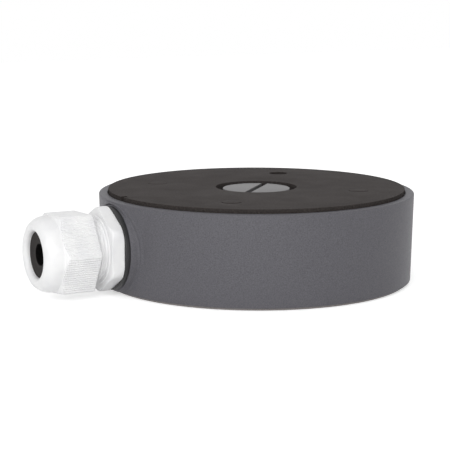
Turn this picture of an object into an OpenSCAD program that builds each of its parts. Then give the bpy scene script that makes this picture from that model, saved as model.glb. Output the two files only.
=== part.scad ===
// Round camera junction box, wall side up, resting on its cover.
// Z = 0 is the camera face of the cover, the body's axis is Z and the cable gland leaves along -X.

/* [Body] */
// Radius of the body at its wall-side rim
body_r = 68.5; // [64:0.5:90]
// Height of the rim above the camera face of the cover
body_h = 38.9; // [38.5:0.1:55]
// How much the outer wall narrows from the rim to the cover
body_draft = 1.0; // [0:0.1:1.2]
// Thickness of the lip that hides the edge of the cover
lip_t = 1.3; // [1:0.1:2]
// Width of the ledge that the gasket presses on
ledge_w = 3.3; // [3:0.1:5]
// Thickness of the back wall under the foam
back_t = 4.0; // [3:0.1:5]
// Depth of the recess that the foam lies in
foam_recess = 1.3; // [0.8:0.1:2]
// Width of the flat rim round the foam recess
rim_w = 3.8; // [3:0.1:6]
// Rounding of the outer edge of the rim
rim_round = 0.6; // [0.2:0.1:0.8]

/* [Wall screw holes] */
// Radius of the circle that the wall screw holes lie on
wall_circle_r = 45; // [42:0.5:48]
// Radius of a wall screw hole
wall_hole_r = 2.5; // [2:0.1:3]
// Number of wall screw holes
wall_holes = 4; // [4:1:4]
// Direction of the first wall screw hole, from the side opposite the gland
wall_turn = 47; // [44:1:48]

/* [Foam pad] */
// Thickness of the foam
foam_t = 3.0; // [2.5:0.1:5]
// Radius of the opening round the plug
foam_hole_r = 17.6; // [16.5:0.1:20]
// Radius of the holes over the wall screws
foam_screw_r = 4.2; // [3.6:0.1:5]
// Width of the locating notch in the edge
notch_w = 3.0; // [2:0.1:4]
// Depth of the locating notch
notch_d = 2.2; // [1.8:0.1:4]

/* [Rear plug] */
// Radius of the plug's head
plug_r = 14.65; // [14.4:0.05:15.5]
// Radius of the rear entry thread
rear_thread_r = 13.2; // [12:0.1:13.4]
// Distance from the foam's face down to the plug's head
plug_drop = 0.57; // [0.2:0.01:0.8]
// Thickness of the flat seal under the head
plug_seal_t = 0.8; // [0.5:0.1:1]
// Length of the threaded stem below the seal
plug_stem = 8.0; // [6:0.1:9]
// Width of the coin slot
slot_w = 2.0; // [1.5:0.1:3]
// Depth of the coin slot
slot_d = 1.25; // [0.8:0.05:1.5]

/* [Gland boss] */
// Thickness of the round boss about the side entry thread
boss_t = 5.5; // [5.1:0.1:5.9]
// How far the face of the boss stands out past the rim
boss_proud = 0.5; // [0.2:0.1:2]
// Length of the side entry thread, through the boss and the wall
entry_l = 9.5; // [8:0.1:11]
// Radius of the side entry thread
entry_r = 12.5; // [11.5:0.1:13]

/* [Cable gland] */
// Size of both hexagons across their flats
gland_af = 31.9; // [30:0.1:33]
// Thickness of the sealing washer
washer_t = 2.0; // [1.5:0.1:2.5]
// Thickness of the hexagon flange
flange_t = 5.7; // [4.5:0.1:6.5]
// Length of the threaded neck in front of the flange
neck_l = 13.8; // [13:0.1:15]
// Radius of the neck's thread
neck_r = 13.5; // [13.2:0.1:13.8]
// Radius of the cable passage through the body and of the nut's mouth
mouth_r = 9.5; // [9:0.1:9.7]
// Open thread between the flange and the clamping nut
nut_gap = 5.1; // [3.8:0.1:5.6]
// Length of the clamping nut
nut_l = 22.8; // [22.5:0.1:25]
// Radius of the hole in the rubber seal
cable_r = 4.45; // [2:0.05:6]
// Number of claws in the cage
claws = 10; // [6:1:14]
// Distance that the nut can still be tightened
tighten = 3.0; // [2:0.1:3]

/* [Cover] */
// Thickness of the cover plate
cover_t = 2.6; // [2.2:0.1:3.2]
// Height of the cover's edge that shows below the body
cover_show = 1.1; // [0.6:0.1:1.6]
// Thickness of the gasket
gasket_t = 1.0; // [0.8:0.1:1.6]
// Radius of the camera's cable outlet
outlet_r = 17.5; // [12:0.5:20]
// Number of cover screws
cover_screws = 3; // [3:1:3]
// Distance from the body's rim in to the centre of a cover screw
screw_inset = 11.7; // [11.4:0.1:13]
// Radius of the circle of the four camera holes
camera_circle_r4 = 35; // [32:0.5:37]
// Radius of the circle of the three camera holes
camera_circle_r3 = 46; // [45:0.5:50]
// Radius of a tapped camera hole
camera_hole_r = 1.65; // [1.2:0.05:2.2]

/* [Screws] */
// Radius of a cover screw's shank
screw_r = 2.0; // [1.7:0.05:2.2]
// Radius of a cover screw's head
screw_head_r = 3.5; // [3.3:0.1:3.8]
// Height of a cover screw's head
screw_head_h = 2.2; // [1.8:0.1:2.4]
// Length of a cover screw under its head
screw_l = 14; // [12:0.5:18]

/* [Hidden] */
$fn = 96;
eps = 0.02;
slide_gap = 0.05; // between a thread and the hole it turns in
fit_gap = 0.1; // round pieces that lie still in each other
free_gap = 0.3; // between pieces that move past each other

// Heights, from the cover up
ledge_z = cover_t + gasket_t;
stop_z = ledge_z + 1.4; // where the cover's bosses meet the body's pillars
rim_z = body_h;
seat_z = rim_z - foam_recess;
roof_z = seat_z - back_t;
foam_z = seat_z + foam_t;

// Radii of the body, from the outside in
foot_r = body_r - body_draft;
rebate_r = foot_r - lip_t;
cover_r = rebate_r - free_gap;
inner_r = rebate_r - ledge_w;
inner_draft = 0.7;
roof_r = inner_r - inner_draft;
recess_r = body_r - rim_w;
foam_r = recess_r - free_gap;
floor_round = 2.0; // where the side wall meets the back wall inside

// Rear entry
rear_boss_r = rear_thread_r + 3.8;
rear_boss_h = 3.6;
plug_head_z = seat_z + plug_seal_t;
plug_top_z = foam_z - plug_drop;
plug_wall = 2.6;

// Side entry, measured outwards from the body's axis along the gland
boss_r = entry_r + boss_t; // at its face
gland_z = cover_show + boss_r + 0.4;
boss_s = body_r + boss_proud;
boss_draft = 0.6;
boss_back = 8; // how far the boss runs back into the wall
inner_boss_gap = 0.9; // between the inner boss and the ledge over the gasket
inner_boss_r = gland_z - ledge_z - inner_boss_gap;
inner_boss_in = 4; // how far the inner boss runs into the outer one
washer_s = boss_s + washer_t;
flange_s = washer_s + flange_t;
neck_s = flange_s + neck_l;
nut_s = flange_s + nut_gap;
mouth_s = nut_s + nut_l;
flange_turn = 0; // corners point straight up and down
nut_turn = 28; // corners turned from the vertical, towards -Y
hex_r = gland_af / 2 / cos(30);
entry_tail = 2.5; // thread that runs on past the inner boss

// Inside the clamping nut, from its mouth back
mouth_l = 2.6;
shoulder_s = mouth_s - mouth_l;
seal_s = shoulder_s - fit_gap;
seal_r = mouth_r + 0.4;
seal_collar_l = 1.1;
seal_l = 14.4;
claw_s = seal_s - seal_collar_l - 0.2;
cage_r = neck_r - 2.2;
cage_in_r = seal_r + slide_gap;
cage_l = 13.6;
cage_s = claw_s - cage_l;
flare_s = neck_s + tighten + 0.1; // the claws widen only past the neck
nut_step_s = flare_s + 0.5;
pocket_s = cage_s - tighten - 0.5; // floor of the cage's pocket in the neck
cone_tip_r = seal_r + 1.0;
cone_base_r = neck_r - 1.1;
dome_round = 4.8;
dome_r = 10.3; // where the dome turns into the mouth's lip
lip_round = dome_r - mouth_r;
nut_chamfer = 8.4; // from the mouth back to where the corners begin to be turned off
claw_slot = 1.2;

// Cover
screw_at = body_r - screw_inset;
spigot_t = 1.6;
spigot_r = inner_r - 0.5;
gasket_r = cover_r - 0.15;
gasket_in_r = inner_r + 0.4;
cover_boss_r = screw_head_r + 1.9;
head_pocket_r = screw_head_r + 0.4;
head_pocket_z = 3.6; // floor of the pocket, under the web that the screw pulls on
o_ring_t = 1.0;
head_z = head_pocket_z - o_ring_t;
retainer_t = 0.8;
retainer_r = screw_r + 1.0;
retainer_pocket = retainer_t + 0.4;
pillar_r = cover_boss_r + 0.4;
hex_key_r = 1.45;
hex_key_d = 1.4;

// Ground terminal
ground_turn = 302;
ground_at = 32;
ground_boss_r = 4.6;
ground_boss_h = 4.4;
ground_washer_t = 0.8;
ground_head_h = 2.4;

wall_angles = [for (i = [0 : wall_holes - 1]) wall_turn + i * 360 / wall_holes];
cover_angles = [for (i = [0 : cover_screws - 1]) i * 360 / cover_screws];
open_hole = 0; // the foam over this wall hole has been pushed out

// Places its children at a radius and direction about the body's axis
module at_polar(radius, turn) {
    rotate([0, 0, turn]) translate([radius, 0, 0]) children();
}

// Turns +Z outwards along the gland, with +X up; s = 0 is the body's axis
module on_gland() {
    translate([0, 0, gland_z]) rotate([0, -90, 0]) children();
}

module ring(r_out, r_in, z0, z1) {
    translate([0, 0, z0]) difference() {
        cylinder(r = r_out, h = z1 - z0);
        translate([0, 0, -1]) cylinder(r = r_in, h = z1 - z0 + 2);
    }
}

module rod(r, z0, z1) {
    translate([0, 0, z0]) cylinder(r = r, h = z1 - z0);
}

module taper(r0, r1, z0, z1) {
    translate([0, 0, z0]) cylinder(r1 = r0, r2 = r1, h = z1 - z0);
}

// Points of an arc about a centre, for a profile
function arc(cx, cy, r, a0, a1, n) =
    [for (i = [0 : n]) let (a = a0 + (a1 - a0) * i / n) [cx + r * cos(a), cy + r * sin(a)]];

// Half section of the cup: drafted outside, rounded rim, foam recess, cover rebate and ledge
module shell_profile() {
    polygon(concat(
        [[rebate_r, cover_show], [foot_r, cover_show]],
        arc(body_r - rim_round, rim_z - rim_round, rim_round, 0, 90, 5),
        [[recess_r, rim_z], [recess_r, seat_z], [0, seat_z], [0, roof_z]],
        arc(roof_r - floor_round, roof_z - floor_round, floor_round, 90, 0, 6),
        [[inner_r, ledge_z], [rebate_r, ledge_z]]
    ));
}

// Everything inside the cup, which bosses on the outside must not fill
module cavity_profile() {
    polygon(concat(
        [[0, -1], [rebate_r, -1], [rebate_r, ledge_z], [inner_r, ledge_z]],
        arc(roof_r - floor_round, roof_z - floor_round, floor_round, 0, 90, 6),
        [[0, roof_z]]
    ));
}

module outer_boss() {
    difference() {
        on_gland() taper(boss_r + boss_draft, boss_r, boss_s - boss_back, boss_s);
        translate([-boss_s - 1, -boss_s, -1]) cube([boss_s, 2 * boss_s, cover_show + 1]);
        rotate_extrude() cavity_profile();
    }
}

// Pillar for one cover screw, with the web that joins it to the side wall
module pillar() {
    union() {
        translate([screw_at, 0, 0]) rod(pillar_r, stop_z, roof_z + eps);
        translate([screw_at, -pillar_r * 0.6, stop_z])
            cube([inner_r + 1 - screw_at, pillar_r * 1.2, roof_z - stop_z + eps]);
    }
}

module roof_rib() {
    rib_t = 2;
    translate([rear_boss_r - 1, -rib_t / 2, roof_z - rear_boss_h])
        cube([screw_at - rear_boss_r, rib_t, rear_boss_h + eps]);
}

module housing() color("#69686d") difference() {
    union() {
        rotate_extrude() shell_profile();
        outer_boss();
        on_gland() rod(inner_boss_r, boss_s - entry_l, boss_s - inner_boss_in);
        rod(rear_boss_r, roof_z - rear_boss_h, roof_z + eps);
        for (a = cover_angles) rotate([0, 0, a]) {
            pillar();
            roof_rib();
        }
        for (a = wall_angles) at_polar(wall_circle_r, a) rod(wall_hole_r + 3.5, roof_z - 2, roof_z + eps);
        at_polar(ground_at, ground_turn) rod(ground_boss_r, roof_z - ground_boss_h, roof_z + eps);
    }
    on_gland() rod(entry_r + fit_gap, boss_s - entry_l - 1, boss_s + 1);
    rod(rear_thread_r + slide_gap, roof_z - rear_boss_h - 1, seat_z + 1);
    for (a = wall_angles) at_polar(wall_circle_r, a) rod(wall_hole_r, roof_z - 3, seat_z + 1);
    for (a = cover_angles) at_polar(screw_at, a) {
        rod(screw_r + slide_gap, stop_z - 1, head_z + screw_l + 1.5);
        rod(retainer_r + free_gap, stop_z - 1, stop_z + retainer_pocket);
    }
    at_polar(ground_at, ground_turn) rod(screw_r + fit_gap, roof_z - ground_boss_h - 1, roof_z + 1.2);
}

module foam_hole(i) {
    at_polar(wall_circle_r, wall_angles[i]) rod(foam_screw_r, seat_z - 1, foam_z + 1);
}

module rear_foam_pad() color("#4e4a49") difference() {
    ring(foam_r, foam_hole_r, seat_z, foam_z);
    for (i = [0 : wall_holes - 1]) foam_hole(i);
    rotate([0, 0, 180]) translate([foam_r - notch_d, -notch_w / 2, seat_z - 1])
        cube([notch_d + 1, notch_w, foam_t + 2]);
}

// Foam that the die cut round but left in place over a wall hole
module foam_disc(i) color("#4e4a49")
    at_polar(wall_circle_r, wall_angles[i]) rod(foam_screw_r - fit_gap, seat_z, foam_z);

module rear_plug() color("#8c8a8b") difference() {
    union() {
        rod(plug_r, plug_head_z, plug_top_z - 0.3);
        taper(plug_r, plug_r - 0.3, plug_top_z - 0.3, plug_top_z);
        rod(rear_thread_r, plug_head_z - plug_stem, plug_head_z + eps);
    }
    rod(rear_thread_r - plug_wall, plug_head_z - plug_stem - 1, plug_top_z - slot_d - 2);
    rotate([0, 0, 45]) translate([-plug_r - 1, -slot_w / 2, plug_top_z - slot_d])
        cube([2 * plug_r + 2, slot_w, slot_d + 1]);
}

module rear_plug_seal() color("#222222")
    ring(plug_r - 0.1, rear_thread_r + fit_gap, seat_z, plug_head_z);

// Hexagon bar along the gland with its corners turned off at both ends
module hex_bar(s0, s1, turn) {
    rotate([0, 0, -turn]) translate([0, 0, s0]) cylinder(r = hex_r, h = s1 - s0, $fn = 6);
}

module gland_body() color("#e5e5e7") on_gland() difference() {
    union() {
        rod(entry_r, boss_s - entry_l - entry_tail, washer_s + eps);
        intersection() {
            hex_bar(washer_s, flange_s, flange_turn);
            union() {
                rod(hex_r - 0.6, washer_s, flange_s - 1.4);
                taper(hex_r - 0.6, hex_r - 3.0, flange_s - 1.4, flange_s);
            }
        }
        rod(neck_r + 0.6, flange_s - eps, flange_s + 0.6);
        rod(neck_r, flange_s, neck_s - 0.8);
        taper(neck_r, neck_r - 0.8, neck_s - 0.8, neck_s);
    }
    rod(mouth_r, boss_s - entry_l - entry_tail - 1, pocket_s + eps);
    rod(cage_r + fit_gap, pocket_s, neck_s + 1);
}

module gland_washer() color("#2a2a2b") on_gland()
    ring(hex_r - 0.9, entry_r + 0.2, boss_s, washer_s);

// Clamping nut: ring of claws and seal turn into its cone, a dome runs from the flats to the mouth
module nut_outer_profile() {
    polygon(concat(
        [[0, nut_s], [hex_r - 1, nut_s], [hex_r - 0.1, nut_s + 0.9], [hex_r - 0.1, mouth_s - nut_chamfer]],
        arc(dome_r, mouth_s - dome_round, dome_round, 0, 90, 10),
        [[0, mouth_s]]
    ));
}

module nut_inner_profile() {
    polygon(concat(
        [[0, nut_s - 1], [neck_r + 0.7, nut_s - 1], [neck_r + 0.7, nut_s]],
        [[neck_r + slide_gap, nut_s + 0.7], [neck_r + slide_gap, nut_step_s]],
        [[cone_base_r, nut_step_s], [cone_tip_r, shoulder_s], [mouth_r, shoulder_s]],
        arc(dome_r, mouth_s - lip_round, lip_round, 180, 90, 5),
        [[dome_r, mouth_s + 1], [0, mouth_s + 1]]
    ));
}

module gland_nut() color("#f4f4f5") on_gland() difference() {
    intersection() {
        hex_bar(nut_s, mouth_s, nut_turn);
        rotate_extrude() nut_outer_profile();
    }
    rotate_extrude() nut_inner_profile();
}

// Plain ring that slides in the neck, then claws that widen past it and close towards the mouth
module cage_profile() {
    wide_r = cone_base_r - 0.4;
    tip_r = cone_tip_r - free_gap;
    polygon([
        [cage_in_r, cage_s], [cage_r, cage_s], [cage_r, flare_s], [wide_r, nut_step_s + 0.3],
        [tip_r, claw_s], [cage_in_r, claw_s]
    ]);
}

module gland_claw_cage() color("#dcdcde") on_gland() difference() {
    rotate_extrude() cage_profile();
    for (i = [0 : claws - 1]) rotate([0, 0, i * 360 / claws])
        translate([0, -claw_slot / 2, cage_s + 3.5]) cube([2 * cage_r, claw_slot, cage_l]);
}

module gland_seal() color("#4b4948") on_gland() difference() {
    union() {
        rod(seal_r, seal_s - seal_l, seal_s - seal_collar_l + eps);
        rod(seal_r + 0.6, seal_s - seal_collar_l, seal_s);
    }
    rod(cable_r, seal_s - seal_l - 1, seal_s + 1);
}

module cover_plate() color("#837f7c") difference() {
    union() {
        rod(cover_r, 0, cover_t);
        difference() {
            ring(spigot_r, spigot_r - spigot_t, cover_t - eps, stop_z);
            translate([-body_r, -inner_boss_r - 1, cover_t]) cube([body_r / 2, 2 * inner_boss_r + 2, stop_z]);
        }
        ring(outlet_r + 2, outlet_r, cover_t - eps, stop_z);
        for (a = cover_angles) at_polar(screw_at, a) rod(cover_boss_r, cover_t - eps, stop_z);
        camera_holes(camera_hole_r + 2.2, cover_t - eps, stop_z);
    }
    rod(outlet_r, -1, stop_z + 1);
    camera_holes(camera_hole_r, -1, stop_z + 1);
    for (a = cover_angles) at_polar(screw_at, a) {
        rod(head_pocket_r, -1, head_pocket_z);
        rod(screw_r + fit_gap, 0, stop_z + 1);
    }
}

module camera_holes(r, z0, z1) {
    for (i = [0 : 3]) at_polar(camera_circle_r4, 45 + i * 90) rod(r, z0, z1);
    for (i = [0 : 2]) at_polar(camera_circle_r3, 60 + i * 120) rod(r, z0, z1);
}

module cover_gasket() color("#1e1e1e")
    ring(gasket_r, gasket_in_r, cover_t, ledge_z);

module cover_screw(i) color("#b4b4b6") at_polar(screw_at, cover_angles[i]) difference() {
    union() {
        taper(screw_head_r - 0.5, screw_head_r, head_z - screw_head_h, head_z - screw_head_h + 0.6);
        rod(screw_head_r, head_z - screw_head_h + 0.6, head_z);
        rod(screw_r, head_z - eps, head_z + screw_l);
    }
    translate([0, 0, head_z - screw_head_h - 1]) cylinder(r = hex_key_r, h = hex_key_d + 1, $fn = 6);
}

module cover_screw_o_ring(i) color("#1e1e1e") at_polar(screw_at, cover_angles[i])
    translate([0, 0, head_z + o_ring_t / 2]) rotate_extrude()
        translate([screw_r + o_ring_t / 2 + slide_gap, 0]) circle(d = o_ring_t, $fn = 24);

module cover_screw_retainer(i) color("#e8e6df") at_polar(screw_at, cover_angles[i])
    ring(retainer_r, screw_r, stop_z, stop_z + retainer_t);

module ground_washer() color("#c0b070") at_polar(ground_at, ground_turn)
    ring(screw_r + 2.2, screw_r + fit_gap, roof_z - ground_boss_h - ground_washer_t, roof_z - ground_boss_h);

module ground_screw() color("#c0b070") at_polar(ground_at, ground_turn) difference() {
    top = roof_z - ground_boss_h - ground_washer_t;
    union() {
        taper(screw_head_r - 0.6, screw_head_r, top - ground_head_h, top - ground_head_h + 0.9);
        rod(screw_head_r, top - ground_head_h + 0.9, top);
        rod(screw_r, top - eps, roof_z + 1);
    }
    for (a = [0, 90]) rotate([0, 0, a])
        translate([-1.9, -0.45, top - ground_head_h - 1]) cube([3.8, 0.9, 2.3]);
}

housing();
rear_foam_pad();
for (i = [1 : wall_holes - 1])
    foam_disc(i);
rear_plug();
rear_plug_seal();
gland_body();
gland_washer();
gland_claw_cage();
gland_seal();
gland_nut();
cover_plate();
cover_gasket();
for (i = [1 : cover_screws]) {
    cover_screw(i - 1);
    cover_screw_o_ring(i - 1);
    cover_screw_retainer(i - 1);
}
ground_screw();
ground_washer();
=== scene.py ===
import math

import bmesh
import bpy
from mathutils import Matrix, Vector


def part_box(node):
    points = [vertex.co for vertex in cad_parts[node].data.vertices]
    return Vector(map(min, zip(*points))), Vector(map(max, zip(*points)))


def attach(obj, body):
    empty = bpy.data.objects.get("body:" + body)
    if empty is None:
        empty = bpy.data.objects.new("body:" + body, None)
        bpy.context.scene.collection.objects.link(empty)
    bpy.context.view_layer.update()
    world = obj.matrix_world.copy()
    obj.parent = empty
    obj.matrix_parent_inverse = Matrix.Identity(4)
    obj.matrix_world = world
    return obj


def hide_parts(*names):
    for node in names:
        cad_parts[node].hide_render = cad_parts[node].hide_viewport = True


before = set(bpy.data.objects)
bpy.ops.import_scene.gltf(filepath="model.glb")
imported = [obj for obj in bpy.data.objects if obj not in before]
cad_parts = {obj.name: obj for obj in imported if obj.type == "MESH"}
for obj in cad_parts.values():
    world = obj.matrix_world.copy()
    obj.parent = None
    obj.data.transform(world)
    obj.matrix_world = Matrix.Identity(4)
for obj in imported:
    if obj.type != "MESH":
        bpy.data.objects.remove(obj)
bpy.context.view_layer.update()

mm = 0.001
fullTurn = 2 * math.pi


def low(node, axis):
    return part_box(node)[0][axis] / mm


def high(node, axis):
    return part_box(node)[1][axis] / mm


# Places read from the frame, in millimetres; the gland's ones are distances from the body's axis
place = {
    "foamTop": high("rear_foam_pad", 2),
    "foamSeat": low("rear_foam_pad", 2),
    "foamR": high("rear_foam_pad", 1),
    "rimTop": high("housing", 2),
    "bodyFoot": low("housing", 2),
    "bodyR": high("housing", 0),
    "coverR": high("cover_plate", 0),
    "coverTop": low("cover_gasket", 2),
    "coverStop": high("cover_plate", 2),
    "glandZ": (low("gland_nut", 2) + high("gland_nut", 2)) / 2,
    "bossFace": -low("housing", 0),
    "washerFace": -low("gland_washer", 0),
    "washerR": high("gland_washer", 1),
    "neckEnd": -low("gland_body", 0),
    "entryEnd": -high("gland_body", 0),
    "nutBack": -high("gland_nut", 0),
    "mouth": -low("gland_nut", 0),
    "sealFace": -low("gland_seal", 0),
    "sealBack": -high("gland_seal", 0),
    "plugTop": high("rear_plug", 2),
    "plugHead": high("rear_plug_seal", 2),
    "plugFoot": low("rear_plug", 2),
    "plugR": high("rear_plug", 0),
}
glandSpace = Matrix.Translation((0, 0, place["glandZ"] * mm)) @ Matrix.Rotation(-math.pi / 2, 4, "Y")
print("frame read")


# Node helpers

def hexColour(code):
    parts = [int(code[i:i + 2], 16) / 255 for i in (1, 3, 5)]
    return tuple(c / 12.92 if c <= 0.04045 else ((c + 0.055) / 1.055) ** 2.4 for c in parts) + (1,)


def addNode(tree, kind, settings=None, links=None):
    # a setting is a property or, where there is none of that name, an input's value
    node = tree.nodes.new(kind)
    for name, value in (settings or {}).items():
        if isinstance(name, str) and hasattr(node, name):
            setattr(node, name, value)
        else:
            node.inputs[name].default_value = value
    for name, source in (links or {}).items():
        tree.links.new(source, node.inputs[name])
    return node


def newMaterial(name, roughness, metallic=0.0, ior=1.5):
    material = bpy.data.materials.new(name)
    material.use_nodes = True
    shader = material.node_tree.nodes["Principled BSDF"]
    shader.inputs["Roughness"].default_value = roughness
    shader.inputs["Metallic"].default_value = metallic
    if metallic < 0.5:
        shader.inputs["IOR"].default_value = ior
    return material, material.node_tree, shader


def grain(tree, size, detail=2.0, distortion=0.0):
    # noise whose grains are about size millimetres
    coords = addNode(tree, "ShaderNodeTexCoord")
    return addNode(tree, "ShaderNodeTexNoise",
                   {"Scale": 1 / (size * mm), "Detail": detail, "Roughness": 0.6, "Distortion": distortion},
                   {"Vector": coords.outputs["Object"]})


def tint(tree, shader, source, dark, light, spread=(0.35, 0.65)):
    ramp = addNode(tree, "ShaderNodeValToRGB", links={"Fac": source})
    ramp.color_ramp.elements[0].position = spread[0]
    ramp.color_ramp.elements[1].position = spread[1]
    ramp.color_ramp.elements[0].color = hexColour(dark)
    ramp.color_ramp.elements[1].color = hexColour(light)
    tree.links.new(ramp.outputs["Color"], shader.inputs["Base Color"])


def relief(tree, shader, source, depth, strength=1.0):
    bump = addNode(tree, "ShaderNodeBump",
                   {"Strength": strength, "Distance": depth * mm}, {"Height": source})
    tree.links.new(bump.outputs["Normal"], shader.inputs["Normal"])


def unevenGloss(tree, shader, source, lowRough, highRough):
    spread = addNode(tree, "ShaderNodeMapRange",
                     {"To Min": lowRough, "To Max": highRough}, {"Value": source})
    tree.links.new(spread.outputs["Result"], shader.inputs["Roughness"])


# Materials

def powderCoatedCasting():
    # powder coat over die-cast aluminium: a fine even grain and a soft satin sheen
    material, tree, shader = newMaterial("powderCoatedCasting", 0.5)
    fine = grain(tree, 0.45, 1.0)  # real grain is 0.1 mm, drawn coarser so that it shows
    tint(tree, shader, fine.outputs["Fac"], "#545358", "#646368", (0.3, 0.7))
    relief(tree, shader, fine.outputs["Fac"], 0.02, 0.4)
    unevenGloss(tree, shader, grain(tree, 3.0).outputs["Fac"], 0.44, 0.56)
    shader.inputs["Specular IOR Level"].default_value = 0.24
    return material


def castCover():
    # the same casting under a thinner, paler coat: flatter and a little warmer
    material, tree, shader = newMaterial("castCover", 0.55)
    fine = grain(tree, 0.5, 1.0)
    tint(tree, shader, fine.outputs["Fac"], "#8b8583", "#969190", (0.3, 0.7))
    relief(tree, shader, fine.outputs["Fac"], 0.02, 0.4)
    return material


def closedCellFoam():
    # die-cut closed-cell foam: matt, slightly brown black with open cells and soft cloudy patches
    material, tree, shader = newMaterial("closedCellFoam", 0.95)
    cells = grain(tree, 0.7, 3.0)  # cells are 0.2 mm, drawn coarser so that they show
    clouds = grain(tree, 14.0, 1.0, 0.4)
    both = addNode(tree, "ShaderNodeMix", {"data_type": "FLOAT", 0: 0.35},  # a third of it clouds
                   {2: cells.outputs["Fac"], 3: clouds.outputs["Fac"]})
    tint(tree, shader, both.outputs[0], "#403c3b", "#4e4a49", (0.36, 0.64))
    relief(tree, shader, cells.outputs["Fac"], 0.12, 0.5)
    shader.inputs["Specular IOR Level"].default_value = 0.12
    return material


def cutFoam():
    # the die's cut through the foam: torn open cells, darker and rougher than the skin
    material, tree, shader = newMaterial("cutFoam", 1.0)
    cells = grain(tree, 0.6, 3.0)
    tint(tree, shader, cells.outputs["Fac"], "#2b2827", "#45403e", (0.3, 0.7))
    relief(tree, shader, cells.outputs["Fac"], 0.25, 0.7)
    shader.inputs["Specular IOR Level"].default_value = 0.1
    return material


def zincPlug():
    # die-cast zinc, left plain: a dull mid grey with a faint grain
    material, tree, shader = newMaterial("zincPlug", 0.45, 0.2)
    fine = grain(tree, 0.4, 1.0)
    tint(tree, shader, fine.outputs["Fac"], "#616061", "#6a6869")
    relief(tree, shader, fine.outputs["Fac"], 0.01, 0.3)
    return material


def slotSkin():
    # the faces inside the plug's slot are drawn near black
    material, tree, shader = newMaterial("slotSkin", 0.8)
    fine = grain(tree, 0.4, 2.0)
    tint(tree, shader, fine.outputs["Fac"], "#2c2a2a", "#3a3837")
    relief(tree, shader, fine.outputs["Fac"], 0.02, 0.4)
    shader.inputs["Specular IOR Level"].default_value = 0.15
    return material


def mouldedNylon():
    # injection-moulded polyamide: milky white, satin with a soft highlight
    material, tree, shader = newMaterial("mouldedNylon", 0.38, ior=1.53)
    soft = grain(tree, 6.0, 1.0)
    tint(tree, shader, soft.outputs["Fac"], "#efeff0", "#f5f5f5")
    relief(tree, shader, grain(tree, 0.5, 1.0).outputs["Fac"], 0.004, 0.12)
    return material


def greyElastomer():
    # moulded thermoplastic rubber of the cable bush: dark grey with a dull skin
    material, tree, shader = newMaterial("greyElastomer", 0.8)
    fine = grain(tree, 0.5, 2.0)
    tint(tree, shader, fine.outputs["Fac"], "#302e2d", "#383534")
    relief(tree, shader, fine.outputs["Fac"], 0.02, 0.4)
    shader.inputs["Specular IOR Level"].default_value = 0.15
    return material


def boreRubber():
    # painted shade inside the bush's cable hole: the hole's wall of the same rubber is drawn almost black
    # for the shade that falls there
    material, tree, shader = newMaterial("boreRubber", 0.95)
    tint(tree, shader, grain(tree, 0.6, 2.0).outputs["Fac"], "#0a0909", "#131211")
    shader.inputs["Specular IOR Level"].default_value = 0.05
    return material


def blackRubber():
    # cured nitrile rubber: near black with a low sheen
    material, tree, shader = newMaterial("blackRubber", 0.5)
    fine = grain(tree, 0.6, 2.0)
    tint(tree, shader, fine.outputs["Fac"], "#1b1b1c", "#252526")
    relief(tree, shader, fine.outputs["Fac"], 0.01, 0.4)
    return material


def turnedSteel():
    # turned stainless steel of the screws: bright, with a fine grain left by the tool
    material, tree, shader = newMaterial("turnedSteel", 0.3, 1.0)
    fine = grain(tree, 0.4, 1.0)
    tint(tree, shader, fine.outputs["Fac"], "#b2b2b4", "#c0c0c2")
    relief(tree, shader, fine.outputs["Fac"], 0.01, 0.3)
    return material


def naturalNylon():
    # unfilled nylon of the retaining rings: creamy and smooth
    material, tree, shader = newMaterial("naturalNylon", 0.45, ior=1.53)
    tint(tree, shader, grain(tree, 2.0).outputs["Fac"], "#e4e0d4", "#eae7dd")
    return material


def rolledBrass():
    # brass of the ground terminal: yellow metal with dull patches
    material, tree, shader = newMaterial("rolledBrass", 0.32, 1.0)
    tint(tree, shader, grain(tree, 1.5, 3.0).outputs["Fac"], "#b79a52", "#cbb06a")
    unevenGloss(tree, shader, grain(tree, 2.0).outputs["Fac"], 0.25, 0.42)
    return material


finish = {
    "casting": powderCoatedCasting(),
    "cover": castCover(),
    "foam": closedCellFoam(),
    "foamCut": cutFoam(),
    "zinc": zincPlug(),
    # slot: near-black finish for the faces inside the plug's slot
    "slot": slotSkin(),
    "nylon": mouldedNylon(),
    "elastomer": greyElastomer(),
    # bore: painted shade for the wall of the bush's cable hole
    "bore": boreRubber(),
    "rubber": blackRubber(),
    "steel": turnedSteel(),
    "ringNylon": naturalNylon(),
    "brass": rolledBrass(),
}
print("materials made")


# Mesh helpers, all in millimetres until the object is made

axisGap = 0.02  # an outline stops this far from the axis and closes there with a tiny disc
past = 1.0  # a cutter, or a rib that runs into a wall, goes this far beyond the face
mostOfSide = 0.49  # a rounding takes less than half of a side


def rounded(corners, steps=4):
    # closed outline through (r, z, rounding) corners
    points = []
    count = len(corners)
    for i, (r, z, rounding) in enumerate(corners):
        if rounding <= 0:
            points.append((r, z))
            continue
        here = Vector((r, z))
        before = Vector(corners[i - 1][:2]) - here
        after = Vector(corners[(i + 1) % count][:2]) - here
        angle = before.angle(after)
        reach = min(rounding / math.tan(angle / 2), before.length * mostOfSide, after.length * mostOfSide)
        radius = reach * math.tan(angle / 2)
        start = here + before.normalized() * reach
        end = here + after.normalized() * reach
        inward = (before.normalized() + after.normalized()).normalized()
        middle = here + inward * (radius / math.sin(angle / 2))
        a0 = math.atan2(start.y - middle.y, start.x - middle.x)
        a1 = math.atan2(end.y - middle.y, end.x - middle.x)
        sweep = (a1 - a0 + math.pi) % fullTurn - math.pi
        for k in range(steps + 1):
            a = a0 + sweep * k / steps
            points.append((middle.x + radius * math.cos(a), middle.y + radius * math.sin(a)))
    return points


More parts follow.
